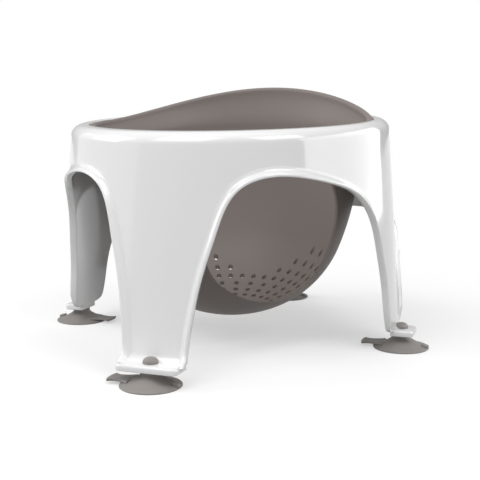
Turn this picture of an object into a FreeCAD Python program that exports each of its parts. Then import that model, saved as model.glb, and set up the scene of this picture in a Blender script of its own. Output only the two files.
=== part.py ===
import FreeCAD, Part
import math
import os

# Baby bath seat: a one-piece white frame on four legs, a grey bucket that drops into it,
# and four soft suction cups buttoned through the feet.
# Millimetres, +Z up, floor at z = 0, the front of the seat towards -Y.

# Opening in the top of the frame, and the border of the rim outside it
opening_radius = 123.8
rim_border_x = 12.45
rim_border_y = 17.81
rim_height = 191.3
rim_tilt = 3.1
rim_round = 9.0
rim_steps = 4
rim_round_end = 80.0

# Oval wall, which widens from the rim's border down to the feet
wall_lean_x = 0.075
wall_lean_y = 0.139
wall_half_x = opening_radius + rim_border_x + wall_lean_x * rim_height
wall_half_y = opening_radius + rim_border_y + wall_lean_y * rim_height
wall_thick = 3.0

# Collar and shelf that carry the bucket, under the opening
collar_thick = 2.5
shelf_depth = 13.0
shelf_thick = 3.0
shelf_width = 8.0
rib_thick = 2.2
rib_count = 12
rib_depth = 10.0

# Legs and the arches between them
leg_half_width = 25.2
leg_low = 16.0
leg_spread_front = 32.6
leg_spread_rear = 27.1
front_arch_crown = 151.5
rear_arch_crown = 107.0
lip_height = 4.0
lip_width = 2.8
lip_flare = 1.3
lip_overhang = 1.2
lip_bend = 0.4
lip_skirt = 0.8

# Feet: a ledge on each leg, with a hole for the suction cup's button just outside the wall
cup_offset = 2.8
cup_ring_x = wall_half_x + cup_offset
cup_ring_y = wall_half_y + cup_offset
ledge_low = 12.0
ledge_thick = 5.0
ledge_reach = 11.5
ledge_half_width = 24.5
ledge_corner = 5.0
ledge_bevel = 1.5
button_hole_radius = 4.4

# Bucket: a shallow floor arc, a round corner and a side that ends upright, turned as short
# straight steps; it hangs through the shelf with some clearance
bucket_clearance = 3.3
bucket_radius = opening_radius - shelf_width - bucket_clearance
bucket_floor = 19.2
upright_depth = 22.4
floor_arc_radius = 114.7
floor_arc_end = 19.4
corner_arc_end = 68.2
floor_steps = 3
corner_steps = 6
side_steps = 3
bucket_thick = 3.0
band_thick = 6.4
band_gap = 0.4
band_sink = 0.6
flare_lead = 2.0
flare_height = 19.0
back_rise = 24.7

# Leg openings in the bucket, as an outline seen along the diagonal
leg_hole_low = 38.0
leg_hole_high = 164.0
leg_hole_half_width = bucket_radius / 2

# Drain holes, drilled straight down in arcs round the back of the bucket floor
drain_radius = 2.25
drain_sides = 8
drain_first_row = 0.32 * bucket_radius
drain_last_row = 0.768 * bucket_radius
drain_span = 63.0

# Suction cups, turned with many flat sides
cup_sides = 24
cup_radius = 23.4
cup_rim_width = 2.5
cup_rim_thick = 1.4
cup_dome_height = 8.2
cup_skin = 2.2
cup_neck_radius = 8.5
stem_gap = 0.4
button_relief = 0.4
button_radius = 5.8
button_height = 4.8
button_shoulder = 0.75
tab_length = 34.5
tab_neck_half = 5.5
tab_end_half = 10.0
tab_thick = 2.0
tab_lift = 3.0
tab_root = 0.7
tab_notch = 3.5
nub_radius = 2.6
nub_height = 3.2

big = 400.0
tiny = 0.01
up = FreeCAD.Vector(0, 0, 1)


def vec(x, y, z):
    return FreeCAD.Vector(x, y, z)


def wall_halves(z, out):
    """Half width and half depth of the oval wall at a height, moved out by a distance."""
    return wall_half_x - wall_lean_x * z + out, wall_half_y - wall_lean_y * z + out


def oval_wire(half_x, half_y):
    """A flat oval about the origin, always started on the +X side."""
    stretch = FreeCAD.Matrix()
    stretch.scale(half_x, half_y, 1)
    return Part.Wire([Part.Circle(vec(0, 0, 0), up, 1).toShape().transformGeometry(stretch)])


def level_oval(z, out):
    wire = oval_wire(*wall_halves(z, out))
    wire.translate(vec(0, 0, z))
    return wire


def tilted(shape):
    """Lay a shape drawn about z = 0 into the sloping plane of the rim."""
    shape.rotate(vec(0, 0, 0), vec(1, 0, 0), rim_tilt)
    shape.translate(vec(0, 0, rim_height))
    return shape


def rim_oval(level, inset, out):
    """The wall's section at a level under the rim plane, drawn in by an inset."""
    half_x, half_y = wall_halves(rim_height + level, out - inset)
    wire = oval_wire(half_x, half_y)
    wire.translate(vec(0, -math.tan(math.radians(rim_tilt)) * half_y * wall_lean_y, level))
    return tilted(wire)


def oval_wall(low, out, top, round_radius, steps):
    """The solid inside the wall, with its top edge rounded in a few steps."""
    turns = [math.radians(rim_round_end * i / steps) for i in range(steps + 1)]
    wires = [level_oval(low, out)]
    wires += [rim_oval(top - round_radius * (1 - math.sin(turn)), round_radius * (1 - math.cos(turn)), out)
              for turn in turns]
    return Part.makeLoft(wires, True, True)


def rim_cylinder(radius, low, high):
    return tilted(Part.makeCylinder(radius, high - low, vec(0, 0, low)))


def polar_radius(angle, z, out):
    half_x, half_y = wall_halves(z, out)
    return half_x * half_y / math.hypot(half_y * math.cos(angle), half_x * math.sin(angle))


def leg_edge(leg_angle, side, share, crown, spread):
    """Polar angle and height of a leg's edge at a share of the crown's height.

    The leg widens with the square of the height.
    """
    z = share * crown
    half = leg_half_width + spread * share ** 2
    return math.radians(leg_angle) + side * math.asin(half / polar_radius(math.radians(leg_angle), z, 0)), z


def arch_outline(legs, crown, spread, leg_shares, over_shares):
    """From one leg up over the crown and down the next leg, as polar angles and heights."""
    first, last = legs
    rising = [leg_edge(first, 1, share, crown, spread) for share in leg_shares]
    over = [(math.radians(angle), crown * share) for angle, share in over_shares]
    falling = [leg_edge(last, -1, share, crown, spread) for share in reversed(leg_shares)]
    return rising + over + falling


def front_arch_outline():
    """The high arch beside the front leg, with its crown nearer to the front."""
    return arch_outline((-90, 0), front_arch_crown, leg_spread_front, (-0.08, 0.132, 0.363, 0.561, 0.713),
                        [(-68.0, 0.931), (-59.0, 0.995), (-49.5, 0.992), (-37.0, 0.95), (-26.5, 0.884)])


def rear_arch_outline():
    """The lower arch beside the rear leg."""
    return arch_outline((0, 90), rear_arch_crown, leg_spread_rear, (-0.112, 0.187, 0.467, 0.729),
                        [(24.0, 0.925), (35.0, 0.985), (48.0, 1.0), (60.0, 0.985), (69.0, 0.925)])


def lip_curve(outline, grow, out):
    """The outline on the wall, grown away from the opening and moved out by a distance."""
    flat_radius = (wall_half_x + wall_half_y) / 2
    flat = [(angle * flat_radius, z) for angle, z in outline]
    points = []
    last = len(flat) - 1
    for i, (s, z) in enumerate(flat):
        before = flat[max(i - 1, 0)]
        after = flat[min(i + 1, last)]
        run = math.hypot(after[0] - before[0], after[1] - before[1])
        across = -(after[1] - before[1]) / run * grow
        rise = (after[0] - before[0]) / run * grow if 0 < i < last else 0
        angle, height = (s + across) / flat_radius, z + rise
        radius = polar_radius(angle, height, out)
        points.append(vec(radius * math.cos(angle), radius * math.sin(angle), height))
    curve = Part.BSplineCurve()
    curve.interpolate(points)
    return curve.toShape()


def lip_band(outline):
    """The raised lip that follows one arch and runs down both its legs, as ruled strips."""
    foot = lip_width + lip_height * lip_flare
    profile = [(-lip_overhang, -wall_thick / 2), (-lip_overhang, lip_height), (lip_width, lip_height),
               (lip_width + lip_bend * (foot - lip_width), lip_bend * lip_height),
               (foot + lip_skirt, -lip_skirt), (foot, -wall_thick / 2)]
    curves = [lip_curve(outline, grow, out) for grow, out in profile]
    curves.append(curves[0])
    strips = [Part.makeRuledSurface(a, b) for a, b in zip(curves, curves[1:])]
    ends = []
    for end in (0, -1):
        corners = [curve.Vertexes[end].Point for curve in curves]
        ends.append(Part.Face(Part.makePolygon(corners)))
    band = Part.makeSolid(Part.makeShell(sum([strip.Faces for strip in strips], []) + ends))
    if band.Volume < 0:
        band.reverse()
    return band


def arch_opening(outline, diagonal):
    """The opening of one arch: its sides run straight towards the middle of the seat."""
    sections = []
    for distance in (wall_half_x / 2, 2 * wall_half_x):
        points = [vec(distance, distance * math.tan(angle - math.radians(diagonal)), z)
                  for angle, z in outline]
        curve = Part.BSplineCurve()
        curve.interpolate(points)
        sections.append(Part.Wire([curve.toShape(), Part.makeLine(points[-1], points[0])]))
    prism = Part.makeLoft(sections, True, True)
    prism.rotate(vec(0, 0, 0), up, diagonal)
    return prism


def mirrored(shape):
    return shape.mirror(vec(0, 0, 0), vec(1, 0, 0))


def arch_openings():
    right = [arch_opening(front_arch_outline(), -45), arch_opening(rear_arch_outline(), 45)]
    return right + [mirrored(shape) for shape in right]


def arch_lips():
    right = [lip_band(front_arch_outline()), lip_band(rear_arch_outline())]
    return right + [mirrored(shape) for shape in right]


def foot_ledge(centre_x, centre_y):
    """A rounded ledge drawn outwards from the leg, under the button."""
    reach = math.hypot(centre_x, centre_y) + ledge_reach
    root = math.hypot(centre_x, centre_y) - 2 * ledge_reach
    plate = Part.makeBox(reach - root, 2 * ledge_half_width, ledge_thick,
                         vec(root, -ledge_half_width, ledge_low))
    corners = [edge for edge in plate.Edges
               if abs(edge.Length - ledge_thick) < tiny and edge.CenterOfMass.x > reach - tiny]
    plate = plate.makeFillet(ledge_corner, corners)
    top_edges = [edge for edge in plate.Edges
                 if edge.CenterOfMass.z > ledge_low + ledge_thick - tiny
                 and edge.CenterOfMass.x > root + tiny]
    plate = plate.makeChamfer(ledge_bevel, top_edges)
    plate.rotate(vec(0, 0, 0), up, math.degrees(math.atan2(centre_y, centre_x)))
    return plate


cup_places = {
    "front": (0.0, -cup_ring_y, 180.0),
    "right": (cup_ring_x, 0.0, 180.0),
    "left": (-cup_ring_x, 0.0, 0.0),
    "rear": (0.0, cup_ring_y, 180.0),
}


def make_frame():
    collar_radius = opening_radius + collar_thick
    inside = oval_wall(ledge_low - ledge_thick, -wall_thick, -wall_thick, rim_round - wall_thick, 1)
    hollow = inside.cut(rim_cylinder(collar_radius, -shelf_depth - shelf_thick, 0))
    ribs = []
    for i in range(rib_count):
        rib = Part.makeBox(big, rib_thick, rib_depth, vec(0, -rib_thick / 2, -rib_depth))
        rib.rotate(vec(0, 0, 0), up, 360.0 * (i + 0.5) / rib_count)
        ribs.append(tilted(rib))
    wall = oval_wall(ledge_low, 0, 0, rim_round, rim_steps).cut(hollow.cut(ribs))
    wall = wall.cut(rim_cylinder(opening_radius, -shelf_depth, big))
    wall = wall.cut(rim_cylinder(opening_radius - shelf_width, -big / 2, big))
    wall = wall.fuse(arch_lips())
    for opening in arch_openings():
        wall = wall.cut(opening)
    wall = wall.cut(Part.makeBox(2 * big, 2 * big, big, vec(-big, -big, leg_low - big)))
    wall = wall.fuse([foot_ledge(x, y).cut(inside) for x, y, turn in cup_places.values()])
    for x, y, turn in cup_places.values():
        hole = Part.makeCylinder(button_hole_radius, 2 * ledge_thick, vec(x, y, ledge_low - tiny))
        relief = Part.makeCylinder(button_radius + button_relief, button_height + button_relief,
                                   vec(x, y, ledge_low + ledge_thick))
        wall = wall.cut([hole, relief])
    return wall


def bowl_arcs(first, second):
    """Radii of the corner and side arcs that end upright at the bucket's radius, under the rim."""
    run = bucket_radius - floor_arc_radius * math.sin(first)
    rise = rim_height - upright_depth - bucket_floor - floor_arc_radius * (1 - math.cos(first))
    corner_run, side_run = math.sin(second) - math.sin(first), 1 - math.sin(second)
    corner_rise, side_rise = math.cos(first) - math.cos(second), math.cos(second)
    share = corner_run * side_rise - corner_rise * side_run
    return (run * side_rise - rise * side_run) / share, (rise * corner_run - run * corner_rise) / share


def bowl(shrink, top):
    """The bowl as a solid of revolution, with every arc drawn in by the same distance."""
    first, second = math.radians(floor_arc_end), math.radians(corner_arc_end)
    corner_arc_radius, side_arc_radius = bowl_arcs(first, second)
    spans = [(floor_arc_radius, 0, first, floor_steps),
             (corner_arc_radius, first, second, corner_steps),
             (side_arc_radius, second, math.pi / 2, side_steps)]
    corners = [vec(0, 0, bucket_floor + shrink)]
    for radius, start, end, steps in spans:
        centre = corners[-1] + vec(-math.sin(start), 0, math.cos(start)) * (radius - shrink)
        turns = [start + (end - start) * (i + 1) / steps for i in range(steps)]
        corners += [centre + vec(math.sin(turn), 0, -math.cos(turn)) * (radius - shrink) for turn in turns]
    corners += [vec(corners[-1].x, 0, top), vec(0, 0, top), corners[0]]
    return Part.Face(Part.makePolygon(corners)).revolve(vec(0, 0, 0), up, 360)


def crest_cutter():
    """What lies above the bucket's edge: level with the rim in front, rising in an arc behind."""
    rise_radius = opening_radius ** 2 / (2 * back_rise)
    start = vec(0, 0, -band_sink)
    centre = vec(0, 0, rise_radius - band_sink)
    sweep = math.asin(1.15 * opening_radius / rise_radius)
    middle = centre + vec(0, math.sin(sweep / 2), -math.cos(sweep / 2)) * rise_radius
    end = centre + vec(0, math.sin(sweep), -math.cos(sweep)) * rise_radius
    edges = [Part.makeLine(vec(0, -big, -band_sink), start),
             Part.Arc(start, middle, end).toShape(),
             Part.makeLine(end, vec(0, end.y, big)),
             Part.makeLine(vec(0, end.y, big), vec(0, -big, big)),
             Part.makeLine(vec(0, -big, big), vec(0, -big, -band_sink))]
    face = Part.Face(Part.Wire(edges))
    face.translate(vec(-big, 0, 0))
    return tilted(face.extrude(vec(2 * big, 0, 0)))


def leg_hole():
    """Closed outline of the right leg opening, drawn across the diagonal and cut along it."""
    middle = (leg_hole_low + leg_hole_high) / 2
    half = (leg_hole_high - leg_hole_low) / 2
    outline = [(1.0, 0.10), (0.942, -0.40), (0.711, -0.86), (0.142, -1.0), (-0.427, -0.87),
               (-0.889, -0.58), (-1.111, -0.10), (-1.031, 0.48), (-0.604, 0.90), (0.0, 1.0),
               (0.604, 0.80), (0.907, 0.46)]
    diagonal = math.sqrt(0.5)
    across = leg_hole_half_width * diagonal
    points = [vec(part * across, part * across, middle + half * share) for part, share in outline]
    curve = Part.BSplineCurve()
    curve.interpolate(Points=points, PeriodicFlag=True)
    face = Part.Face(Part.Wire([curve.toShape()]))
    return face.extrude(vec(big * diagonal, -big * diagonal, 0))


def drain_places():
    """Four inner arcs of holes, and outer arcs that leave the middle of the back plain."""
    rows = [(0, 15.0, 0), (1, 15.0, 0), (2, 15.0, 0), (3, 10.5, 0), (4, 10.5, 20), (5, 10.5, 31), (6, 10.5, 41)]
    row_step = (drain_last_row - drain_first_row) / (len(rows) - 1)
    places = []
    for row, step, plain in rows:
        radius = drain_first_row + row_step * row
        count = int(drain_span / step)
        for i in range(-count, count + 1):
            if abs(i * step) >= plain:
                angle = math.radians(90 + i * step)
                places.append((radius * math.cos(angle), radius * math.sin(angle)))
    return places


def drain(x, y):
    turns = [2 * math.pi * i / drain_sides for i in range(drain_sides + 1)]
    corners = [vec(x + drain_radius * math.cos(turn), y + drain_radius * math.sin(turn), 0) for turn in turns]
    return Part.Face(Part.makePolygon(corners)).extrude(vec(0, 0, rim_height / 2))


def make_bucket():
    outer = bowl(0, rim_height + back_rise)
    band_radius = opening_radius - band_gap
    band = rim_cylinder(band_radius, -shelf_depth, 2 * back_rise)
    inner_radius = bucket_radius - bucket_thick
    inner = bowl(bucket_thick, big)
    flare_radius = band_radius - band_thick
    flare = Part.makeCone(inner_radius - flare_lead, flare_radius, flare_height, vec(0, 0, -flare_height))
    flare = tilted(flare.fuse(Part.makeCylinder(flare_radius, 3 * back_rise)))
    shell = outer.fuse(band).cut(inner).cut(flare)
    shell = shell.cut(crest_cutter())
    hole = leg_hole()
    shell = shell.cut([hole, mirrored(hole)])
    return shell.cut([drain(x, y) for x, y in drain_places()])


def turned(outline, sides):
    """An outline from axis to axis, turned with flat sides."""
    def corner(point, i):
        turn = 2 * math.pi * i / sides
        return vec(point.x * math.cos(turn), point.x * math.sin(turn), point.z)
    faces = []
    for a, b in zip(outline, outline[1:]):
        for i in range(sides):
            ring = [corner(a, i), corner(a, i + 1), corner(b, i + 1), corner(b, i)]
            if a.x == 0:
                ring.pop(1)
            if b.x == 0:
                ring.pop(-1)
            faces.append(Part.Face(Part.makePolygon(ring + ring[:1])))
    body = Part.makeSolid(Part.makeShell(faces))
    if body.Volume < 0:
        body.reverse()
    return body


def make_cup(x, y, turn):
    """Disc, neck, stem and button in one piece, with a pull tab and a small nub."""
    ledge_top = ledge_low + ledge_thick
    stem_radius = button_hole_radius - stem_gap
    cup = turned([
        vec(0, 0, cup_dome_height - cup_skin),
        vec(cup_radius - cup_rim_width, 0, 0),
        vec(cup_radius, 0, 0),
        vec(cup_radius, 0, cup_rim_thick),
        vec(cup_neck_radius, 0, cup_dome_height),
        vec(cup_neck_radius, 0, ledge_low),
        vec(stem_radius, 0, ledge_low),
        vec(stem_radius, 0, ledge_top),
        vec(button_radius, 0, ledge_top),
        vec(button_radius * button_shoulder, 0, ledge_top + button_height * button_shoulder),
        vec(0, 0, ledge_top + button_height),
    ], cup_sides)
    start = cup_radius * tab_root
    swell = cup_radius + tab_thick
    tab_outline = [vec(start, -tab_neck_half, 0), vec(swell, -tab_neck_half, 0),
                   vec(tab_length, -tab_end_half, 0), vec(tab_length - tab_notch, 0, 0),
                   vec(tab_length, tab_end_half, 0), vec(swell, tab_neck_half, 0),
                   vec(start, tab_neck_half, 0), vec(start, -tab_neck_half, 0)]
    tab = Part.Face(Part.makePolygon(tab_outline)).extrude(vec(0, 0, tab_thick))
    tab.rotate(vec(start, 0, 0), vec(0, 1, 0), -math.degrees(math.atan2(tab_lift, tab_length - start)))
    tab.translate(vec(0, 0, cup_rim_thick))
    nub = Part.makeCylinder(nub_radius, nub_height, vec(nub_radius - cup_radius, 0, cup_rim_thick / 2))
    cup = cup.fuse([tab, nub])
    cup.rotate(vec(0, 0, 0), up, turn)
    cup.translate(vec(x, y, 0))
    return cup


os.makedirs("parts", exist_ok=True)
make_frame().exportStep("parts/frame.step")
make_bucket().exportStep("parts/seat_bucket.step")
for place, (cup_x, cup_y, cup_turn) in cup_places.items():
    make_cup(cup_x, cup_y, cup_turn).exportStep("parts/suction_cup_" + place + ".step")
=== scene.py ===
import math

import bmesh
import bpy
import numpy as np
from bpy.props import FloatProperty, FloatVectorProperty, IntProperty, PointerProperty
from mathutils import Matrix, Vector


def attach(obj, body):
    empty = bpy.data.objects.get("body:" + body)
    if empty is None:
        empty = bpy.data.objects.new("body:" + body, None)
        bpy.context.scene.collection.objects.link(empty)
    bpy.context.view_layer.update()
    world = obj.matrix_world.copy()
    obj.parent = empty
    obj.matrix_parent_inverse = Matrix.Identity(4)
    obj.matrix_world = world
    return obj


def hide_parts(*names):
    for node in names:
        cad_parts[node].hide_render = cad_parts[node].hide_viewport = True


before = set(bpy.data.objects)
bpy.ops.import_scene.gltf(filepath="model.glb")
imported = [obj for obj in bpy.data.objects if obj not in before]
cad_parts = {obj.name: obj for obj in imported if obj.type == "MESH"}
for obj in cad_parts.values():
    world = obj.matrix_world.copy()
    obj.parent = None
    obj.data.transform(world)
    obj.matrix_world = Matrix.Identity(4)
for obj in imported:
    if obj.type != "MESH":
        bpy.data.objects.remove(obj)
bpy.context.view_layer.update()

bl_info = {
    "name": "Baby bath seat",
    "version": (1, 0, 0),
    "blender": (4, 5, 0),
    "location": "View3D > Sidebar > Bath seat",
    "description": "Moulds the white frame, grey bucket and suction cups of a baby bath seat",
    "category": "Object",
}


def length(default, description):
    return FloatProperty(default=default, description=description, unit="LENGTH", precision=4)


def share(default, description):
    return FloatProperty(default=default, description=description)


def degrees(default, description):
    return FloatProperty(default=math.radians(default), description=description, subtype="ANGLE")


def colour(default, description):
    return FloatVectorProperty(default=default, description=description, subtype="COLOR", min=0, max=1)


class FrameSizes(bpy.types.PropertyGroup):
    border_x: length(0.01245, "Width of the rim outside the opening, at the sides")
    border_y: length(0.01781, "Width of the rim outside the opening, at front and back")
    lean_x: share(0.075, "How much the sides draw in per unit of height")
    lean_y: share(0.139, "How much front and back draw in per unit of height")
    wall: length(0.003, "Thickness of the wall")
    rim_height: length(0.1913, "Height of the rim above the floor, at the middle")
    rim_tilt: degrees(3.1, "Slope of the rim, up towards the back")
    rim_round: length(0.009, "Radius of the rim's outer edge")
    opening: length(0.1238, "Radius of the opening that takes the bucket")
    edge_round: length(0.0012, "Radius of the opening's edge")
    collar: length(0.0025, "Thickness of the collar round the opening")
    shelf_depth: length(0.013, "How far the shelf lies below the rim")
    shelf_thick: length(0.003, "Thickness of the shelf")
    shelf_width: length(0.008, "Width of the shelf that the bucket rests on")
    leg_half: length(0.0252, "Half width of a leg at its foot")
    leg_low: length(0.016, "Height at which the legs' walls end, inside the ledges")
    spread_front: length(0.0326, "How much a leg widens on a side up to the front crown")
    spread_rear: length(0.0271, "How much a leg widens on a side up to the rear crown")
    front_crown: length(0.1515, "Height of the front arches")
    rear_crown: length(0.107, "Height of the rear arches")
    lip_flare: length(0.0085, "How far the lip sweeps out where it meets the foot")
    flare_height: length(0.0095, "Height over which the lip sweeps out")
    lip_fade: length(0.013, "Height over which the lip fades at a side leg's foot")
    lip_least: share(0.05, "What is left of the lip at a side leg's foot")
    ledge_low: length(0.012, "Height of the underside of the foot's ledge")
    ledge_thick: length(0.005, "Thickness of the foot's ledge")
    ledge_reach: length(0.0115, "How far the ledge goes past the button's middle")
    ledge_half: length(0.0249, "Half width of the ledges in front and at the back")
    side_ledge_half: length(0.0130, "Half width of the ledges at the sides")
    ledge_corner: length(0.005, "Radius of the ledge's corners")
    ledge_edge: length(0.002, "Radius of the ledge's upper edge")
    ledge_under: length(0.0006, "Radius of the ledge's lower edge")
    hollow: length(0.005, "Radius of the hollow between leg and ledge")
    hollow_bite: length(0.001, "How far the hollow's piece reaches into leg and ledge")
    rib_count: IntProperty(default=12, min=1, description="Ribs between collar and wall, under the rim")
    rib_top: length(0.0045, "Depth of the ribs' upper edge below the rim")
    rib_low: length(0.010, "Depth of the ribs' lower edge below the rim")
    rib_thick: length(0.0022, "Thickness of the ribs")
    rib_bite: share(0.8, "Reach of the ribs into the wall, as a share of its thickness")


class BucketSizes(bpy.types.PropertyGroup):
    clearance: length(0.0033, "Gap between the bucket's side and the frame's shelf")
    drain_cut: length(0.12, "Height up to which the drain holes are cut")
    floor: length(0.0192, "Height of the bucket's lowest point")
    floor_arc: length(0.1147, "Radius of the floor's arc")
    floor_end: degrees(19.4, "Where the floor's arc ends")
    upright: length(0.0224, "How far below the rim the side becomes upright")
    corner_end: degrees(68.2, "Where the corner's arc ends")
    wall: length(0.003, "Thickness of the bucket's wall")
    band: length(0.0064, "Thickness of the bucket's rolled band")
    band_bevel: length(0.0008, "Bevel at the band's lower edge")
    band_step: length(0.0012, "Height of the sharp turn from the side to the band")
    gap: length(0.0004, "Gap between the band and the frame's opening")
    sink: length(0.0006, "How far the band's front lies under the frame's rim")
    roll: length(0.003, "Height of the band's rounded edge")
    flare: length(0.0105, "Height over which the band's inside narrows to the bowl in front")
    rise: length(0.0247, "How far the back rises above the rim")
    hole_low: length(0.038, "Lowest point of the leg openings")
    hole_high: length(0.164, "Highest point of the leg openings")
    drain: length(0.00225, "Radius of a drain hole")
    drain_first: share(0.32, "Innermost row of drain holes, as a share of the radius")
    drain_last: share(0.768, "Outermost row of drain holes, as a share of the radius")
    drain_span: degrees(63.0, "Half the angle that the drain holes cover")


class CupSizes(bpy.types.PropertyGroup):
    offset: length(0.0028, "How far the cups' middles lie outside the wall's oval at the floor")
    radius: length(0.0234, "Radius of a cup")
    rim: length(0.0014, "Thickness of the cup's rim")
    rim_width: length(0.0025, "Width of the flat under the cup's rim")
    rim_round: length(0.0005, "Bevel on top of the cup's rim")
    bevel: length(0.0004, "Bevel under the edges of the rim and the button")
    height: length(0.0082, "Height of the cup's dome")
    skin: length(0.0022, "Thickness of the dome")
    neck: length(0.0085, "Radius of the neck at the top of the dome")
    waist: length(0.0009, "How much the neck draws in under the ledge")
    stem: length(0.004, "Radius of the stem in the ledge")
    button: length(0.0058, "Radius of the button on the ledge")
    button_height: length(0.0048, "Height of the button")
    button_edge: length(0.0011, "Height of the button's upright edge")
    tab_start: share(0.62, "Where the tab leaves the dome, as a share of the cup's radius")
    tab_length: length(0.0335, "Distance of the tab's end from the cup's middle")
    tab_root: length(0.0110, "Half width of the tab where it leaves the cup")
    tab_neck: length(0.0062, "Half width of the tab's neck")
    tab_neck_at: share(0.65, "Where the tab is narrowest, as a share of its length")
    tab_end: length(0.0090, "Half width of the tab's end")
    tab_round: length(0.0016, "How far the tab's end is rounded back at its corners")
    tab_thick: length(0.0019, "Thickness of the tab")
    tab_edge: length(0.0005, "Radius of the tab's edges")
    tab_lift: length(0.0029, "Height of the tab's top above the cup's rim")
    nub_size: FloatVectorProperty(default=(0.0058, 0.0056, 0.0030), subtype="XYZ_LENGTH",
                                  description="Length, width and height of the lug on the rim")
    nub_round: length(0.0011, "Radius of the lug's edges")
    nub_tilt: degrees(12, "How much the lug leans down to the rim's outside")
    nub_inset: length(0.0030, "How far the lug's middle lies inside the cup's radius")
    nub_level: length(0.0026, "Height of the lug's middle")


class Finishes(bpy.types.PropertyGroup):
    frame_white: colour((0.83, 0.83, 0.83), "Colour of the frame's plastic")
    bucket_grey: colour((0.235, 0.205, 0.19), "Colour of the bucket's soft plastic")
    cup_grey: colour((0.27, 0.25, 0.235), "Colour of the cups' rubber")
    floor_white: colour((0.98, 0.98, 0.98), "Colour of the floor where it is seen")
    floor_bounce: colour((0.42, 0.42, 0.42), "Colour of the light that the floor throws back")
    sky: share(0.45, "Brightness of the surroundings, as the seat meets them")


# Distance under which two points are one, and under which two heights are one
SAME_PLACE = 1e-6
SAME_LEVEL = 1e-5


def spline(points, closed, samples):
    """Samples of the smooth cubic through some points, spaced by the chords between them."""
    pts = np.array(points, float)
    if closed:
        wrap = 4
        pts = np.vstack([pts[-wrap:], pts, pts[:wrap]])
    chords = np.linalg.norm(np.diff(pts, axis=0), axis=1)
    knots = np.concatenate([[0], np.cumsum(chords)])
    last = len(pts) - 1
    system = np.eye(last + 1)
    right = np.zeros_like(pts)
    for i in range(1, last):
        system[i, i - 1:i + 2] = chords[i - 1], 2 * (chords[i - 1] + chords[i]), chords[i]
        right[i] = 6 * ((pts[i + 1] - pts[i]) / chords[i] - (pts[i] - pts[i - 1]) / chords[i - 1])
    bend = np.linalg.solve(system, right)
    start, end = (knots[wrap], knots[-wrap]) if closed else (knots[0], knots[-1])
    places = np.linspace(start, end, samples, endpoint=not closed)
    result = []
    for place in places:
        i = min(max(int(np.searchsorted(knots, place)) - 1, 0), last - 1)
        h = chords[i]
        a, b = (knots[i + 1] - place) / h, (place - knots[i]) / h
        result.append(a * pts[i] + b * pts[i + 1]
                      + ((a ** 3 - a) * bend[i] + (b ** 3 - b) * bend[i + 1]) * h * h / 6)
    return result


def arc(start, end, steps):
    """Cosine and sine at even steps round an arc; its ends are given in degrees."""
    turns = [math.radians(start + (end - start) * i / steps) for i in range(steps + 1)]
    return [(math.cos(turn), math.sin(turn)) for turn in turns]


def direction(points, i):
    """Which way an open line of points runs at one of them."""
    return (points[min(i + 1, len(points) - 1)] - points[max(i - 1, 0)]).normalized()


def verts_in(geom):
    return [part for part in geom if isinstance(part, bmesh.types.BMVert)]


def edges_in(geom):
    return [part for part in geom if isinstance(part, bmesh.types.BMEdge)]


def lathe(bm, segments, places, closed):
    """Extrude a circle through a list of places; each place turns an angle into a point."""
    turn = bm.verts.layers.float.new("turn")
    ring = bmesh.ops.create_circle(bm, cap_ends=False, segments=segments, radius=1)["verts"]
    for vert in ring:
        vert[turn] = math.atan2(vert.co.y, vert.co.x)
        vert.co = places[0](vert[turn])
    edges = list(bm.edges)
    for place in places[1:] + (places[:1] if closed else []):
        grown = bmesh.ops.extrude_edge_only(bm, edges=edges)["geom"]
        edges = edges_in(grown)
        for vert in verts_in(grown):
            vert.co = place(vert[turn])
    bmesh.ops.remove_doubles(bm, verts=bm.verts, dist=SAME_PLACE)
    bmesh.ops.recalc_face_normals(bm, faces=bm.faces)


def sweep(bm, sections, closed):
    """Carry a closed section along a path by extruding it from place to place."""
    mark = bm.verts.layers.int.new("mark")
    ring = [bm.verts.new(point) for point in sections[0]]
    for i, vert in enumerate(ring):
        vert[mark] = i
    loop = [bm.edges.new((a, b)) for a, b in zip(ring, ring[1:] + ring[:1])]
    if not closed:
        bm.faces.new(ring)
    for section in sections[1:] + (sections[:1] if closed else []):
        grown = bmesh.ops.extrude_edge_only(bm, edges=loop)["geom"]
        loop, ring = edges_in(grown), verts_in(grown)
        for vert in ring:
            vert.co = section[vert[mark]]
    if not closed:
        bm.faces.new(sorted(ring, key=lambda vert: vert[mark]))


def add_box(bm, low, high):
    """A box between two corners; gives its vertices."""
    made = bmesh.ops.create_cube(bm, size=1)["verts"]
    bmesh.ops.scale(bm, vec=[end - start for start, end in zip(low, high)], verts=made)
    bmesh.ops.translate(bm, vec=[(start + end) / 2 for start, end in zip(low, high)], verts=made)
    return made


def round_edges(bm, edges, radius, segments, clamp=False):
    bmesh.ops.bevel(bm, geom=edges, offset=radius, segments=segments, profile=0.5, affect="EDGES",
                    material=-1, clamp_overlap=clamp)


def turn_verts(bm, verts, angle, axis="Z"):
    bmesh.ops.rotate(bm, cent=(0, 0, 0), matrix=Matrix.Rotation(angle, 3, axis), verts=verts)


def mirror_left(bm):
    """Add the mirror image, on the left, of everything on the right."""
    geom = list(bm.verts) + list(bm.edges) + list(bm.faces)
    bmesh.ops.mirror(bm, geom=geom, matrix=Matrix.Identity(4), merge_dist=-1, axis="X")
    bmesh.ops.recalc_face_normals(bm, faces=bm.faces)


def new_object(name, bm):
    mesh = bpy.data.meshes.new(name)
    bm.to_mesh(mesh)
    bm.free()
    piece = bpy.data.objects.new(name, mesh)
    bpy.context.scene.collection.objects.link(piece)
    return piece


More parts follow.
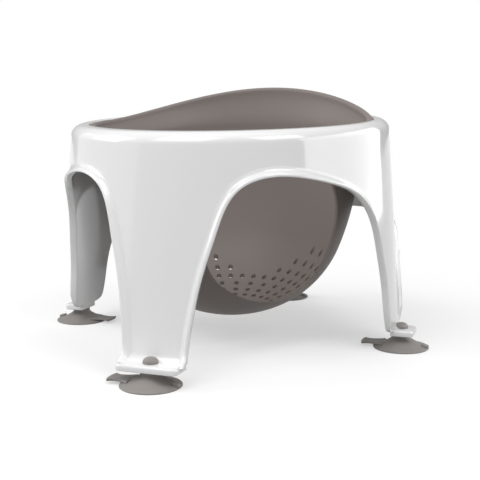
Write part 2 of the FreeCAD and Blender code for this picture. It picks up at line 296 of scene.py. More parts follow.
def carve(piece, cutters):
    """Cut some tools out of a piece, and remove them."""
    for cutter in cutters:
        cut = piece.modifiers.new("Cut", "BOOLEAN")
        cut.operation = "DIFFERENCE"
        cut.solver = "EXACT"
        cut.object = cutter
    bpy.context.view_layer.update()
    shown = piece.evaluated_get(bpy.context.evaluated_depsgraph_get())
    mesh = bpy.data.meshes.new_from_object(shown)
    piece.modifiers.clear()
    old = piece.data
    piece.data = mesh
    bpy.data.meshes.remove(old)
    for cutter in cutters:
        bpy.data.objects.remove(cutter)


def add_to(piece, bm):
    """Join what a bmesh holds to a piece's mesh."""
    bm.from_mesh(piece.data)
    bm.to_mesh(piece.data)
    bm.free()


def shade(piece, sharp_angle=35.0):
    """Smooth faces, with creases kept where two faces meet at more than an angle."""
    bm = bmesh.new()
    bm.from_mesh(piece.data)
    limit = math.radians(sharp_angle)
    for face in bm.faces:
        face.smooth = True
    for edge in bm.edges:
        edge.smooth = not edge.is_manifold or edge.calc_face_angle(0) < limit
    bm.to_mesh(piece.data)
    bm.free()


def finish_piece(piece, material, slot, *nodes):
    """Give a piece its material and its body, and hide the nodes that it stands for; the slot is not used."""
    piece.data.materials.clear()
    piece.data.materials.append(material)
    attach(piece, "root")
    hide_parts(*nodes)


def wall_halves(sizes, z, out):
    """Half width and half depth of the oval wall at a height, moved out by a distance."""
    depth = sizes.rim_height - z
    return (sizes.opening + sizes.border_x + sizes.lean_x * depth + out,
            sizes.opening + sizes.border_y + sizes.lean_y * depth + out)


def wall_point(sizes, angle, z, out):
    """The wall's point at an angle and a height, moved out by a distance."""
    half_x, half_y = wall_halves(sizes, z, out)
    radius = half_x * half_y / math.hypot(half_y * math.cos(angle), half_x * math.sin(angle))
    return Vector((radius * math.cos(angle), radius * math.sin(angle), z))


def rim_frame(sizes):
    return Matrix.Translation((0, 0, sizes.rim_height)) @ Matrix.Rotation(sizes.rim_tilt, 4, "X")


def on_matrix(matrix):
    return lambda turn: matrix @ Vector((math.cos(turn), math.sin(turn), 0))


def level_oval(sizes, z, out):
    half_x, half_y = wall_halves(sizes, z, out)
    return Matrix.Translation((0, 0, z)) @ Matrix.Diagonal((half_x, half_y, 1, 1))


def rim_oval(sizes, level, inset, out):
    half_x, half_y = wall_halves(sizes, sizes.rim_height + level, out - inset)
    shift = -math.tan(sizes.rim_tilt) * half_y * sizes.lean_y
    return rim_frame(sizes) @ Matrix.Translation((0, shift, level)) @ Matrix.Diagonal((half_x, half_y, 1, 1))


def rim_circle(sizes, radius, level):
    return rim_frame(sizes) @ Matrix.Translation((0, 0, level)) @ Matrix.Diagonal((radius, radius, 1, 1))


def frame_wall(sizes):
    """The wall's closed section, from the foot up over the rim and down the inside."""
    rows = 26
    low = level_oval(sizes, sizes.leg_low, 0)
    high = rim_oval(sizes, -sizes.rim_round, 0, 0)
    rings = [low * (1 - i / rows) + high * (i / rows) for i in range(rows + 1)]
    outer, edge = sizes.rim_round, sizes.edge_round
    rings += [rim_oval(sizes, -outer * (1 - sin), outer * (1 - cos), 0) for cos, sin in arc(10, 90, 8)]
    rings += [rim_circle(sizes, sizes.opening + edge * (1 - sin), -edge * (1 - cos))
              for cos, sin in arc(0, 90, 3)]
    shelf = sizes.opening - sizes.shelf_width
    collar = sizes.opening + sizes.collar
    shelf_low = -sizes.shelf_depth - sizes.shelf_thick
    steps = ((sizes.opening, -sizes.shelf_depth), (shelf, -sizes.shelf_depth), (shelf, shelf_low),
             (collar, shelf_low), (collar, -sizes.wall))
    rings += [rim_circle(sizes, radius, level) for radius, level in steps]
    inner = sizes.rim_round - sizes.wall
    rings += [rim_oval(sizes, -sizes.wall - inner * (1 - sin), inner * (1 - cos), -sizes.wall)
              for cos, sin in arc(90, 0, 4)]
    inner_low = level_oval(sizes, sizes.leg_low, -sizes.wall)
    inner_high = rings[-1].copy()
    rings += [inner_high * (1 - i / rows) + inner_low * (i / rows) for i in range(1, rows + 1)]
    bm = bmesh.new()
    lathe(bm, 288, [on_matrix(ring) for ring in rings], closed=True)
    return new_object("frame_shell", bm)


# The rounded lower corner of a side leg in millimetres: height above its underside, and how far it draws in
SIDE_CORNER = [(0.0, 12.6), (0.25, 9.4), (1.1, 5.7), (2.6, 2.5), (4.5, 0.7), (6.6, 0.0)]
# Heights up the legs at which an arch's edge is given, as shares of its crown
FRONT_RISES = (0.132, 0.363, 0.561, 0.713)
REAR_RISES = (0.187, 0.467, 0.729)
# An arch's edge over the top: angle round the seat in degrees, and height as a share of its crown
FRONT_TOP = [(-68.0, 0.931), (-59.0, 0.995), (-49.5, 0.992), (-37.0, 0.95), (-26.5, 0.884)]
REAR_TOP = [(69.0, 0.925), (60.0, 0.985), (48.0, 1.0), (35.0, 0.985), (24.0, 0.925)]
# How far the arches are cut wider than their edges; the lips cover it
CUT_WIDER = 0.0020


def leg_edge(sizes, leg, side, z, crown, spread, drawn_in=0.0):
    """Angle and height of a leg's edge; the leg widens with the square of the height."""
    half = sizes.leg_half + spread * (z / crown) ** 2 - drawn_in
    radius = wall_point(sizes, math.radians(leg), z, 0).to_2d().length
    return math.radians(leg) + side * math.asin(half / radius), z


def arch_outline(sizes, front):
    """Edge of one right-hand arch as angles and heights, from one foot over to the other."""
    if front:
        wide_leg, turn, spread, crown = -90, 1, sizes.spread_front, sizes.front_crown
        rises, over = FRONT_RISES, FRONT_TOP
    else:
        wide_leg, turn, spread, crown = 90, -1, sizes.spread_rear, sizes.rear_crown
        rises, over = REAR_RISES, REAR_TOP
    outline = [leg_edge(sizes, wide_leg, turn, part * crown, crown, spread)
               for part in (sizes.leg_low / crown,) + rises]
    outline += [(math.radians(angle), crown * part) for angle, part in over]
    outline += [leg_edge(sizes, 0, -turn, part * crown, crown, spread) for part in rises[:0:-1]]
    outline += [leg_edge(sizes, 0, -turn, sizes.leg_low + up / 1000, crown, spread, drawn_in / 1000)
                for up, drawn_in in reversed(SIDE_CORNER)]
    return outline if front else outline[::-1]


def flat_outline(sizes, front, samples):
    """The arch's edge unrolled onto a flat sheet, and evenly sampled."""
    flat_radius = sum(wall_halves(sizes, 0, 0)) / 2
    flat = [(angle * flat_radius, z) for angle, z in arch_outline(sizes, front)]
    return flat_radius, [Vector(point) for point in spline(flat, False, samples)]


def arch_cutter(sizes, front):
    """A wedge through the wall whose sides run to the middle of the seat."""
    flat_radius, flat = flat_outline(sizes, front, 150)
    flat = [Vector((flat[0].x, 0))] + flat + [Vector((flat[-1].x, 0))]
    diagonal = math.radians(-45 if front else 45)
    near, far = sizes.opening / 2, 2 * sizes.opening
    bm = bmesh.new()
    ring = []
    for i, point in enumerate(flat):
        along = direction(flat, i)
        spot = point + Vector((-along.y, along.x)) * CUT_WIDER
        ring.append(bm.verts.new((near, near * math.tan(spot.x / flat_radius - diagonal), spot.y)))
    face = bm.faces.new(ring)
    moved = bmesh.ops.extrude_face_region(bm, geom=[face])["geom"]
    bmesh.ops.scale(bm, vec=(far / near, far / near, 1), verts=verts_in(moved))
    turn_verts(bm, bm.verts, diagonal)
    bmesh.ops.recalc_face_normals(bm, faces=bm.faces)
    return bm


def both_sides(name, bm):
    """A tool and its mirror image on the left, as one object."""
    mirror_left(bm)
    return new_object(name, bm)


# The lip's section in millimetres: distance from the arch's edge over the leg, and out from the wall
LIP_SECTION = [(0.0, -2.5), (0.0, 2.0), (0.12, 2.6), (0.45, 3.0), (0.95, 3.2), (1.55, 3.2), (2.2, 2.95),
               (2.8, 2.5), (3.4, 1.9), (4.0, 1.3), (4.7, 0.75), (5.5, 0.32), (6.4, 0.08), (7.3, 0.0),
               (7.4, -0.4), (5.4, -1.6), (2.4, -2.4), (2.2, -2.85), (1.9, -3.0), (0.5, -3.0), (0.15, -2.85)]
LIP_HEIGHT = max(out for across, out in LIP_SECTION)


def arch_lip(sizes, front):
    """The raised lip along one arch and down both its legs, sweeping out over the wide ledge."""
    flat_radius, flat = flat_outline(sizes, front, 170)
    ledge_top = sizes.ledge_low + sizes.ledge_thick
    last = len(flat) - 1
    sections = []
    for i, point in enumerate(flat):
        along = direction(flat, i)
        across = Vector((-along.y, along.x))
        wide_foot = (i < last / 2) == front
        if wide_foot:
            near = min(max(1 - (point.y - ledge_top) / sizes.flare_height, 0), 1)
            sweep_out = sizes.lip_flare * (1 - math.sqrt(1 - near * near))
            height = 1
            if i in (0, last):
                across = Vector((math.copysign(1, -along.y), 0))
        else:
            sweep_out = 0
            height = min(max((point.y - sizes.leg_low) / sizes.lip_fade, sizes.lip_least), 1)
        section = []
        for grow, out in LIP_SECTION:
            spot = point + across * grow / 1000
            proud = max(out, 0) / LIP_HEIGHT
            out *= height if out > 0 else 1
            section.append(wall_point(sizes, spot.x / flat_radius, spot.y, out / 1000 + proud * sweep_out))
        sections.append(section)
    bm = bmesh.new()
    sweep(bm, sections, closed=False)
    mirror_left(bm)
    return bm


def cup_centres(sizes, cups):
    """Middle of each cup and the way its pull tab points."""
    side, end = wall_halves(sizes, 0, cups.offset)
    return {"front": (0, -end, 180), "right": (side, 0, 180), "left": (-side, 0, 0), "rear": (0, end, 180)}


def foot_ledge(sizes, x, y, half):
    """A ledge with rounded corners and a soft upper edge."""
    angle, distance = math.atan2(y, x), math.hypot(x, y)
    start = wall_point(sizes, angle, sizes.leg_low, -sizes.wall).to_2d().length
    low, top = sizes.ledge_low, sizes.ledge_low + sizes.ledge_thick
    bm = bmesh.new()
    add_box(bm, (start, -half, low), (distance + sizes.ledge_reach, half, top))
    uprights = [edge for edge in bm.edges
                if abs(edge.verts[0].co.z - edge.verts[1].co.z) > SAME_LEVEL
                and edge.verts[0].co.x > distance]
    round_edges(bm, uprights, sizes.ledge_corner, 7)
    for level, radius in ((top, sizes.ledge_edge), (low, sizes.ledge_under)):
        rim = [edge for edge in bm.edges
               if all(abs(vert.co.z - level) < SAME_LEVEL for vert in edge.verts)
               and any(vert.co.x > start + SAME_LEVEL for vert in edge.verts)]
        round_edges(bm, rim, radius, 5)
    turn_verts(bm, bm.verts, angle)
    return bm


def web_hollow(sizes, x, y, half):
    """The hollow curve between the leg's face and the ledge."""
    centre = math.atan2(y, x)
    top = sizes.ledge_low + sizes.ledge_thick
    radius, bite = sizes.hollow, sizes.hollow_bite
    section = [(top - bite, -bite), (top + radius, -bite)]
    section += [(top + radius * (1 - sin), radius * (1 - cos)) for cos, sin in arc(0, 90, 8)]
    section.append((top - bite, radius))
    span = (half - sizes.ledge_edge) / math.hypot(x, y)
    angles = [centre - span + 2 * span * i / 24 for i in range(25)]
    bm = bmesh.new()
    sweep(bm, [[wall_point(sizes, angle, z, out) for z, out in section] for angle in angles], closed=False)
    bmesh.ops.recalc_face_normals(bm, faces=bm.faces)
    return bm


def rim_ribs(sizes):
    """Ribs that tie the collar to the wall, under the rim."""
    bm = bmesh.new()
    inner = sizes.opening + sizes.collar / 2
    half = sizes.rib_thick / 2
    for i in range(sizes.rib_count):
        angle = math.radians(360 * (i + 0.5) / sizes.rib_count)
        outer = wall_point(sizes, angle, sizes.rim_height - sizes.rib_top, -sizes.rib_bite * sizes.wall)
        made = add_box(bm, (inner, -half, -sizes.rib_low), (outer.to_2d().length, half, -sizes.rib_top))
        turn_verts(bm, made, angle)
    bmesh.ops.transform(bm, matrix=rim_frame(sizes), verts=bm.verts)
    return bm


class BATHSEAT_OT_frame(bpy.types.Operator):
    """Mould the white frame: oval wall, four legs, arches with lips, rim and feet"""
    bl_idname = "bathseat.frame"
    bl_label = "Frame"

    def execute(self, context):
        sizes, cups = context.scene.bathseat_frame, context.scene.bathseat_cups
        piece = frame_wall(sizes)
        cutters = [both_sides("arch_tool", arch_cutter(sizes, front)) for front in (True, False)]
        carve(piece, cutters)
        for front in (True, False):
            add_to(piece, arch_lip(sizes, front))
        add_to(piece, rim_ribs(sizes))
        for x, y, _ in cup_centres(sizes, cups).values():
            half = sizes.side_ledge_half if abs(x) > abs(y) else sizes.ledge_half
            add_to(piece, foot_ledge(sizes, x, y, half))
            add_to(piece, web_hollow(sizes, x, y, half))
        shade(piece)
        piece.name = piece.data.name = "white_frame"
        finish_piece(piece, glossy_white(context.scene.bathseat_finishes), "frame_white", "frame")
        return {"FINISHED"}


def bucket_radius(sizes, frame_sizes):
    return frame_sizes.opening - frame_sizes.shelf_width - sizes.clearance


def bowl_spans(sizes, frame_sizes):
    """Radius, start and end of the arcs of the floor, the corner and the side, which ends upright."""
    first, second = sizes.floor_end, sizes.corner_end
    run = bucket_radius(sizes, frame_sizes) - sizes.floor_arc * math.sin(first)
    rise = frame_sizes.rim_height - sizes.upright - sizes.floor - sizes.floor_arc * (1 - math.cos(first))
    corner_run, side_run = math.sin(second) - math.sin(first), 1 - math.sin(second)
    corner_rise, side_rise = math.cos(first) - math.cos(second), math.cos(second)
    both = corner_run * side_rise - corner_rise * side_run
    return [(sizes.floor_arc, 0, first), ((run * side_rise - rise * side_run) / both, first, second),
            ((rise * corner_run - run * corner_rise) / both, second, math.pi / 2)]


def bowl_profile(sizes, frame_sizes, shrink):
    """Radius and height along the bowl's arcs, from the middle of the floor to the upright side."""
    points = [Vector((0, sizes.floor + shrink))]
    for (radius, start, end), pieces in zip(bowl_spans(sizes, frame_sizes), (8, 30, 14)):
        radius -= shrink
        centre = points[-1] + Vector((-math.sin(start), math.cos(start))) * radius
        points += [centre + Vector((math.sin(turn), -math.cos(turn))) * radius
                   for turn in (start + (end - start) * (i + 1) / pieces for i in range(pieces))]
    return points


def upright(point):
    radius, z = point
    return lambda turn: Vector((radius * math.cos(turn), radius * math.sin(turn), z))


def band_place(sizes, rim, radius, level, lift):
    """A place on the band: level with the rim in front and lifted with the raised back."""
    def place(turn):
        rise = sizes.rise * max(math.sin(turn), 0) ** 2
        return rim @ Vector((radius * math.cos(turn), radius * math.sin(turn), level + lift * rise))
    return place


def bucket_shell(sizes, frame_sizes):
    """Bowl, band and rolled edge as one closed skin."""
    rim = rim_frame(frame_sizes)
    radius = bucket_radius(sizes, frame_sizes)
    band = frame_sizes.opening - sizes.gap
    inside, middle = band - sizes.band, band - sizes.band / 2
    low, edge = -frame_sizes.shelf_depth, -sizes.sink - sizes.roll

    def at(radius, level, lift):
        return band_place(sizes, rim, radius, level, lift)

    places = [upright(point) for point in bowl_profile(sizes, frame_sizes, 0)]
    places += [at(radius, low - sizes.band_step, 0), at(radius, low, 0),
               at(band - sizes.band_bevel, low, 0), at(band, low + sizes.band_bevel, 0)]
    places += [at(band, low + (edge - low) * i / 8, i / 8) for i in range(1, 9)]
    places += [at(middle + cos * sizes.band / 2, edge + sin * sizes.roll, 1)
               for cos, sin in arc(15, 180, 11)]
    for i in range(1, 17):
        part = i / 16
        ease = part * part * (3 - 2 * part)
        places.append(at(inside + (radius - sizes.wall - inside) * ease, edge - sizes.flare * part, 1 - part))
    places += [upright(point) for point in reversed(bowl_profile(sizes, frame_sizes, sizes.wall))]
    bm = bmesh.new()
    lathe(bm, 240, places, closed=False)
    return new_object("bucket_shell", bm)


# Points of a leg opening's edge: shares of half the bucket's radius, and of half the height
LEG_OPENING = [(1.0, 0.10), (0.942, -0.40), (0.711, -0.86), (0.142, -1.0), (-0.427, -0.87), (-0.889, -0.58),
               (-1.111, -0.10), (-1.031, 0.48), (-0.604, 0.90), (0.0, 1.0), (0.604, 0.80), (0.907, 0.46)]


def leg_outline(sizes, frame_sizes, samples):
    """Edge of the right leg opening: distance across the diagonal, and height."""
    middle = (sizes.hole_low + sizes.hole_high) / 2
    half = (sizes.hole_high - sizes.hole_low) / 2
    wide = bucket_radius(sizes, frame_sizes) / 2
    points = [(wide * across, middle + half * part) for across, part in LEG_OPENING]
    return [Vector(point) for point in spline(points, True, samples)]


def diagonal_point(across, deep, z):
    """A point given across and along the diagonal between front and right."""
    side = math.sqrt(0.5)
    return Vector(((across + deep) * side, (across - deep) * side, z))


def leg_cutter(sizes, frame_sizes):
    """Tools for both leg openings, which run out along the diagonals."""
    outline = leg_outline(sizes, frame_sizes, 120)
    near, depth = 0.01, 0.25
    bm = bmesh.new()
    ring = []
    for i, point in enumerate(outline):
        along = (outline[(i + 1) % len(outline)] - outline[i - 1]).normalized()
        spot = point + Vector((along.y, -along.x)) * sizes.wall / 2
        ring.append(bm.verts.new(diagonal_point(spot.x, near, spot.y)))
    face = bm.faces.new(ring)
    moved = bmesh.ops.extrude_face_region(bm, geom=[face])["geom"]
    bmesh.ops.translate(bm, vec=diagonal_point(0, depth, 0), verts=verts_in(moved))
    bmesh.ops.recalc_face_normals(bm, faces=bm.faces)
    return both_sides("leg_tool", bm)


# The back of a leg opening's bead: its depth and half width, as shares of the bead's radius
BEAD_DEPTH = 1.2
BEAD_HALF = 0.97


def leg_edge_roll(sizes, frame_sizes):
    """The rounded edge of a leg opening, as a half-round bead on the middle of the wall."""
    profile = bowl_profile(sizes, frame_sizes, sizes.wall / 2)
    heights = [point.y for point in profile]
    radii = [point.x for point in profile]

    def bowl_radius(z):
        return float(np.interp(z, heights, radii))

    spots = []
    for point in leg_outline(sizes, frame_sizes, 200):
        deep = math.sqrt(max(bowl_radius(point.y) ** 2 - point.x ** 2, 0))
        spots.append(diagonal_point(point.x, deep, point.y))
    middle = sum(spots, Vector()) / len(spots)
    radius = sizes.wall / 2
    step = 0.001
    sections = []
    for i, spot in enumerate(spots):
        along = (spots[(i + 1) % len(spots)] - spots[i - 1]).normalized()
        slope = (bowl_radius(spot.z + step) - bowl_radius(spot.z - step)) / (2 * step)
        normal = Vector((spot.x, spot.y, 0)).normalized() - Vector((0, 0, slope))
        normal = (normal - along * normal.dot(along)).normalized()
        away = along.cross(normal)
        if away.dot(spot - middle) < 0:
            away = -away
        centre = spot + away * radius
        section = [centre - away * cos * radius + normal * sin * radius for cos, sin in arc(-90, 90, 8)]
        back = centre + away * radius * BEAD_DEPTH
        section += [back + normal * radius * BEAD_HALF, back - normal * radius * BEAD_HALF]
        sections.append(section)
    bm = bmesh.new()
    sweep(bm, sections, closed=True)
    bmesh.ops.remove_doubles(bm, verts=bm.verts, dist=SAME_PLACE)
    mirror_left(bm)
    return bm


# Rows of drain holes, from the inside out: step in degrees, and degrees left plain in the middle of the back
DRAIN_ROWS = [(15.0, 0), (15.0, 0), (15.0, 0), (10.5, 0), (10.5, 20), (10.5, 31), (10.5, 41)]


def drain_places(sizes, frame_sizes):
    """Inner arcs of holes, and outer arcs that leave the middle of the back plain."""
    outer = bucket_radius(sizes, frame_sizes)
    row_step = (sizes.drain_last - sizes.drain_first) / (len(DRAIN_ROWS) - 1)
    for row, (step, plain) in enumerate(DRAIN_ROWS):
        radius = outer * (sizes.drain_first + row_step * row)
        most = int(round(math.degrees(sizes.drain_span), 3) / step)
        for i in range(-most, most + 1):
            if abs(i * step) >= plain:
                angle = math.radians(90 + i * step)
                yield radius * math.cos(angle), radius * math.sin(angle)


def drain_cutter(sizes, frame_sizes):
    """Upright round tools for all drain holes, as one object."""
    bm = bmesh.new()
    for x, y in drain_places(sizes, frame_sizes):
        made = bmesh.ops.create_cone(bm, cap_ends=True, segments=20, radius1=sizes.drain,
                                     radius2=sizes.drain, depth=sizes.drain_cut)["verts"]
        bmesh.ops.translate(bm, vec=(x, y, sizes.drain_cut / 2), verts=made)
    return new_object("drain_tool", bm)


class BATHSEAT_OT_bucket(bpy.types.Operator):
    """Mould the grey bucket: bowl, rolled band, leg openings and drain holes"""
    bl_idname = "bathseat.bucket"
    bl_label = "Bucket"

    def execute(self, context):
        sizes, frame_sizes = context.scene.bathseat_bucket, context.scene.bathseat_frame
        piece = bucket_shell(sizes, frame_sizes)
        carve(piece, [leg_cutter(sizes, frame_sizes), drain_cutter(sizes, frame_sizes)])
        add_to(piece, leg_edge_roll(sizes, frame_sizes))
        shade(piece)
        piece.name = piece.data.name = "grey_bucket"
        finish_piece(piece, soft_grey(context.scene.bathseat_finishes), "bucket_grey", "seat_bucket")
        return {"FINISHED"}


# How the cup's underside falls, how much of the dome's rise is straight, and how the rest bends up
UNDER_BEND = 1.35
DOME_STRAIGHT = 0.55
DOME_BEND = 2.4


def cup_profile(sizes, frame_sizes):
    """Radius and height of the cup's skin, from under the dome round to the top of the button."""
    ledge, top = frame_sizes.ledge_low, frame_sizes.ledge_low + frame_sizes.ledge_thick
    foot, edge = sizes.radius - sizes.rim_width, sizes.radius - sizes.rim_round
    waist = sizes.neck - sizes.waist
    under = [(foot * i / 8, (sizes.height - sizes.skin) * (1 - (i / 8) ** UNDER_BEND)) for i in range(8)]
    rim = [(foot, 0), (sizes.radius - sizes.bevel, 0), (sizes.radius, sizes.bevel),
           (sizes.radius, sizes.rim - sizes.rim_round), (edge, sizes.rim)]
    dome = []
    for i in range(1, 13):
        part = i / 12
        rise = DOME_STRAIGHT * part + (1 - DOME_STRAIGHT) * part ** DOME_BEND
        dome.append((edge - (edge - sizes.neck) * part, sizes.rim + (sizes.height - sizes.rim) * rise))
    neck = [(sizes.neck - sizes.waist * 2 / 3, sizes.height + sizes.waist),
            (waist, sizes.height + sizes.skin), (waist, ledge), (sizes.stem, ledge), (sizes.stem, top)]
    shoulder = top + sizes.button_edge
    button = [(sizes.button - sizes.bevel, top), (sizes.button, top + sizes.bevel), (sizes.button, shoulder)]
    crown = sizes.button_height - sizes.button_edge
    button += [(sizes.button * cos, shoulder + crown * sin) for cos, sin in arc(11.25, 90, 7)]
    return under + rim + dome + neck + button


def pull_tab(sizes):
    """A level tab that leaves the dome above the cup's rim, with a narrow neck and a rounded end."""
    bm = bmesh.new()
    bmesh.ops.create_grid(bm, x_segments=20, y_segments=12, size=1)
    start, neck_at = sizes.radius * sizes.tab_start, sizes.tab_neck_at
    for vert in bm.verts:
        along, side = (vert.co.x + 1) / 2, vert.co.y
        root, swell = max(1 - along / neck_at, 0), max((along - neck_at) / (1 - neck_at), 0)
        half = (sizes.tab_neck + (sizes.tab_root - sizes.tab_neck) * root ** 2
                + (sizes.tab_end - sizes.tab_neck) * swell ** 1.5)
        reach = start + (sizes.tab_length - start) * along - sizes.tab_round * abs(side) ** 3 * swell ** 2
        vert.co = (reach, side * half, 0)
    bmesh.ops.solidify(bm, geom=list(bm.faces), thickness=sizes.tab_thick)
    top = max(vert.co.z for vert in bm.verts)
    bmesh.ops.translate(bm, vec=(0, 0, sizes.rim + sizes.tab_lift - top), verts=bm.verts)
    bmesh.ops.recalc_face_normals(bm, faces=bm.faces)
    edges = [edge for edge in bm.edges if edge.is_manifold and edge.calc_face_angle(0) > math.radians(50)]
    round_edges(bm, edges, sizes.tab_edge, 3, clamp=True)
    return bm


def rim_nub(sizes):
    """A small rounded lug on the rim, opposite the tab."""
    bm = bmesh.new()
    half = Vector(sizes.nub_size) / 2
    add_box(bm, -half, half)
    round_edges(bm, bm.edges, sizes.nub_round, 4)
    turn_verts(bm, bm.verts, -sizes.nub_tilt, "Y")
    bmesh.ops.translate(bm, vec=(sizes.nub_inset - sizes.radius, 0, sizes.nub_level), verts=bm.verts)
    return bm


class BATHSEAT_OT_cups(bpy.types.Operator):
    """Mould the soft suction cups with their buttons, pull tabs and lugs"""
    bl_idname = "bathseat.cups"
    bl_label = "Suction cups"

    def execute(self, context):
        sizes, frame_sizes = context.scene.bathseat_cups, context.scene.bathseat_frame
        rubber = soft_rubber(context.scene.bathseat_finishes)
        for foot, (x, y, tab) in cup_centres(frame_sizes, sizes).items():
            bm = bmesh.new()
            lathe(bm, 72, [upright(point) for point in cup_profile(sizes, frame_sizes)], closed=False)
            piece = new_object("cup_" + foot, bm)
            add_to(piece, pull_tab(sizes))
            add_to(piece, rim_nub(sizes))
            turned = Matrix.Translation((x, y, 0)) @ Matrix.Rotation(math.radians(tab), 4, "Z")
            piece.data.transform(turned)
            shade(piece)
            finish_piece(piece, rubber, "cup_grey", "suction_cup_" + foot)
        return {"FINISHED"}


def new_material(name):
    """An empty node material; gives the material, its tree and its output."""
    material = bpy.data.materials.new(name)
    material.use_nodes = True
    material.node_tree.nodes.clear()
    tree = material.node_tree
    output = tree.nodes.new("ShaderNodeOutputMaterial")
    return material, tree, output


def add_node(tree, kind, settings=(), **values):
    """A node with some settings, and values for the inputs named after them."""
    node = tree.nodes.new(kind)
    for key, value in dict(settings).items():
        setattr(node, key, value)
    for key, value in values.items():
        node.inputs[key.replace("_", " ")].default_value = value
    return node


def wire(tree, *joins):
    """Link nodes; each join is a node, its output, another node and its input."""
    for source, output, target, entry in joins:
        tree.links.new(source.outputs[output], target.inputs[entry])


def moulding_group():
    """Cloudy shift of tone and a fine grain, as moulded plastic has."""
    name = "Moulded surface"
    if name in bpy.data.node_groups:
        return bpy.data.node_groups[name]
    group = bpy.data.node_groups.new(name, "ShaderNodeTree")
    face = group.interface
    for label, default in (("Cloud Scale", 12.0), ("Grain Scale", 2000.0), ("Grain Height", 0.05),
                           ("Rough Low", 0.3), ("Rough High", 0.4)):
        face.new_socket(name=label, in_out="INPUT", socket_type="NodeSocketFloat").default_value = default
    for label, kind in (("Cloud", "Float"), ("Roughness", "Float"), ("Normal", "Vector")):
        face.new_socket(name=label, in_out="OUTPUT", socket_type="NodeSocket" + kind)
    start = group.nodes.new("NodeGroupInput")
    end = group.nodes.new("NodeGroupOutput")
    where = group.nodes.new("ShaderNodeTexCoord")
    cloud = add_node(group, "ShaderNodeTexNoise", Detail=3.0, Roughness=0.5)
    grain = add_node(group, "ShaderNodeTexNoise", Detail=2.0, Roughness=0.6)
    spread = group.nodes.new("ShaderNodeMapRange")
    bump = add_node(group, "ShaderNodeBump", Distance=0.0001)
    wire(group,
         (where, "Object", cloud, "Vector"), (where, "Object", grain, "Vector"),
         (start, "Cloud Scale", cloud, "Scale"), (start, "Grain Scale", grain, "Scale"),
         (start, "Rough Low", spread, "To Min"), (start, "Rough High", spread, "To Max"),
         (start, "Grain Height", bump, "Strength"), (grain, "Fac", bump, "Height"),
         (cloud, "Fac", spread, "Value"), (cloud, "Fac", end, "Cloud"),
         (spread, "Result", end, "Roughness"), (bump, "Normal", end, "Normal"))
    return group


def moulded_plastic(name, tone, shift, surface_values, shader_values):
    """A moulded surface: tone with a slight cloudy shift, grain, and its own gloss."""
    material, tree, output = new_material(name)
    surface = add_node(tree, "ShaderNodeGroup", {"node_tree": moulding_group()}, **surface_values)
    mix = add_node(tree, "ShaderNodeMix", {"data_type": "RGBA"},
                   A=(*tone, 1), B=(*[channel * shift for channel in tone], 1))
    shader = add_node(tree, "ShaderNodeBsdfPrincipled", **shader_values)
    wire(tree,
         (surface, "Cloud", mix, "Factor"), (mix, "Result", shader, "Base Color"),
         (surface, "Roughness", shader, "Roughness"), (surface, "Normal", shader, "Normal"),
         (shader, "BSDF", output, "Surface"))
    return material


def glossy_white(finishes):
    return moulded_plastic("Glossy white plastic", finishes.frame_white, 0.98,
                           {"Cloud Scale": 9.0, "Grain Scale": 900.0, "Grain Height": 0.02,
                            "Rough Low": 0.10, "Rough High": 0.16},
                           {"IOR": 1.5, "Coat Weight": 0.4, "Coat Roughness": 0.06})


def soft_grey(finishes):
    return moulded_plastic("Soft-touch grey plastic", finishes.bucket_grey, 0.94,
                           {"Cloud Scale": 7.0, "Grain Scale": 2600.0, "Grain Height": 0.25,
                            "Rough Low": 0.42, "Rough High": 0.52},
                           {"IOR": 1.5, "Specular IOR Level": 0.15})


def soft_rubber(finishes):
    return moulded_plastic("Soft grey rubber", finishes.cup_grey, 0.9,
                           {"Cloud Scale": 40.0, "Grain Scale": 3000.0, "Grain Height": 0.2,
                            "Rough Low": 0.45, "Rough High": 0.58},
                           {"IOR": 1.45, "Sheen Weight": 0.15, "Sheen Roughness": 0.5})


def pale_floor(finishes, clear_from, clear_at, least_white):
    """A pale floor: the camera sees it turn to plain white away from the seat, with the shadow kept."""
    material, tree, output = new_material("Pale floor")
    place = tree.nodes.new("ShaderNodeTexCoord")
    away = add_node(tree, "ShaderNodeVectorMath", {"operation": "LENGTH"})
    fade = add_node(tree, "ShaderNodeMapRange", {"interpolation_type": "SMOOTHSTEP"},
                    From_Min=clear_from, From_Max=clear_at, To_Min=least_white)
    path = tree.nodes.new("ShaderNodeLightPath")
    seen = add_node(tree, "ShaderNodeMath", {"operation": "MAXIMUM"})
    white = add_node(tree, "ShaderNodeMath", {"operation": "MULTIPLY"})
    tone = add_node(tree, "ShaderNodeMix", {"data_type": "RGBA"},
                    A=(*finishes.floor_bounce, 1), B=(*finishes.floor_white, 1))
    plain = tree.nodes.new("ShaderNodeBsdfDiffuse")
    glow = add_node(tree, "ShaderNodeEmission", Color=(1, 1, 1, 1), Strength=1.0)
    mix = tree.nodes.new("ShaderNodeMixShader")
    wire(tree,
         (place, "Object", away, 0), (away, "Value", fade, "Value"),
         (path, "Is Camera Ray", seen, 0), (path, "Is Glossy Ray", seen, 1),
         (seen, "Value", tone, "Factor"), (seen, "Value", white, 0), (fade, "Result", white, 1),
         (tone, "Result", plain, "Color"), (white, "Value", mix, "Fac"),
         (plain, "BSDF", mix, 1), (glow, "Emission", mix, 2), (mix, "Shader", output, "Surface"))
    return material


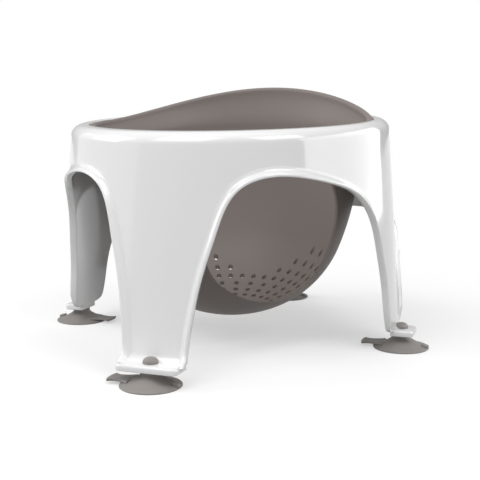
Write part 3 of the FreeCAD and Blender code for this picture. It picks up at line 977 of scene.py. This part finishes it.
def studio_world(finishes):
    """Even, pale surroundings that the camera sees as plain white."""
    world = bpy.data.worlds.new("Studio")
    world.use_nodes = True
    tree = world.node_tree
    tree.nodes.clear()
    output = tree.nodes.new("ShaderNodeOutputWorld")
    path = tree.nodes.new("ShaderNodeLightPath")
    sky = add_node(tree, "ShaderNodeBackground", Color=(1, 1, 1, 1), Strength=finishes.sky)
    white = add_node(tree, "ShaderNodeBackground", Color=(1, 1, 1, 1), Strength=1.0)
    mix = tree.nodes.new("ShaderNodeMixShader")
    wire(tree,
         (path, "Is Camera Ray", mix, "Fac"), (sky, "Background", mix, 1), (white, "Background", mix, 2),
         (mix, "Shader", output, "Surface"))
    return world


# Soft lamps: place, height of the point on the seat's axis that they face, width and height, power in watts
LAMPS = {
    "Key light": ((-0.4, -1.2, 1.7), 0.10, (1.2, 1.2), 13.3),
    "Fill light": ((1.2, -0.6, 1.7), 0.10, (1.0, 1.0), 13),
    "Left light": ((-1.7, -0.4, 1.1), 0.10, (1.0, 1.0), 13),
    "Top light": ((0.0, -0.2, 1.8), 0.10, (1.3, 1.3), 4),
}
# Lamps that only show in glossy surfaces, as a reflector card does
CARDS = {
    "Right card": ((1.29, 0.5, 0.5), 0.12, (2.2, 1.0), 23),
    "Left card": ((-1.37, -0.3, 0.5), 0.12, (2.0, 1.0), 4),
}


def softbox(name, place, faced, size, power, diffuse):
    """A soft lamp that faces a point on the seat's axis."""
    light = bpy.data.lights.new(name, "AREA")
    light.shape = "RECTANGLE"
    light.size, light.size_y = size
    light.energy = power
    lamp = bpy.data.objects.new(name, light)
    lamp.location = place
    lamp.visible_diffuse = diffuse
    lamp.rotation_euler = (Vector((0, 0, faced)) - Vector(place)).to_track_quat("-Z", "Y").to_euler()
    bpy.context.scene.collection.objects.link(lamp)


# The photograph's camera: lens and sensor width in millimetres, place, and degrees down and round
LENS = 68.44
SENSOR_WIDTH = 36
CAMERA_PLACE = (0.2793, -0.7578, 0.1998)
CAMERA_DOWN = 8.11
CAMERA_ROUND = 19.69


def photo_camera():
    lens = bpy.data.cameras.new("Camera")
    lens.lens, lens.sensor_width = LENS, SENSOR_WIDTH
    camera = bpy.data.objects.new("Camera", lens)
    camera.location = CAMERA_PLACE
    camera.rotation_euler = (math.radians(90 - CAMERA_DOWN), 0, math.radians(CAMERA_ROUND))
    bpy.context.scene.collection.objects.link(camera)
    return camera


# Half the width of the floor
FLOOR_HALF = 60


class BATHSEAT_OT_stage(bpy.types.Operator):
    """Set up floor, backdrop, soft studio light and camera"""
    bl_idname = "bathseat.stage"
    bl_label = "Stage"

    def execute(self, context):
        scene = context.scene
        bm = bmesh.new()
        bmesh.ops.create_grid(bm, x_segments=1, y_segments=1, size=FLOOR_HALF)
        floor = new_object("floor", bm)
        white = pale_floor(scene.bathseat_finishes, clear_from=0.2, clear_at=0.5, least_white=0.5)
        floor.data.materials.append(white)
        scene.world = studio_world(scene.bathseat_finishes)
        for lamps, diffuse in ((LAMPS, True), (CARDS, False)):
            for name, lamp in lamps.items():
                softbox(name, *lamp, diffuse)
        scene.camera = photo_camera()
        scene.view_settings.view_transform = "Standard"
        return {"FINISHED"}


class BATHSEAT_PT_panel(bpy.types.Panel):
    bl_idname = "BATHSEAT_PT_panel"
    bl_label = "Bath seat"
    bl_space_type = "VIEW_3D"
    bl_region_type = "UI"
    bl_category = "Bath seat"

    def draw(self, context):
        for operator in OPERATORS:
            self.layout.operator(operator.bl_idname)
        for name in GROUPS:
            box = self.layout.box()
            group = getattr(context.scene, name)
            for key in group.bl_rna.properties.keys():
                if key not in ("rna_type", "name"):
                    box.prop(group, key, text=key.replace("_", " ").capitalize())


GROUPS = {
    "bathseat_frame": FrameSizes,
    "bathseat_bucket": BucketSizes,
    "bathseat_cups": CupSizes,
    "bathseat_finishes": Finishes,
}
OPERATORS = (BATHSEAT_OT_frame, BATHSEAT_OT_bucket, BATHSEAT_OT_cups, BATHSEAT_OT_stage)
CLASSES = tuple(GROUPS.values()) + OPERATORS + (BATHSEAT_PT_panel,)


def register():
    for cls in CLASSES:
        bpy.utils.register_class(cls)
    for name, group in GROUPS.items():
        setattr(bpy.types.Scene, name, PointerProperty(type=group))


def unregister():
    for name in GROUPS:
        delattr(bpy.types.Scene, name)
    for cls in reversed(CLASSES):
        bpy.utils.unregister_class(cls)


def main():
    register()
    bpy.ops.bathseat.frame()
    bpy.ops.bathseat.bucket()
    bpy.ops.bathseat.cups()
    bpy.ops.bathseat.stage()
    bpy.context.view_layer.update()


if __name__ == "__main__":
    main()
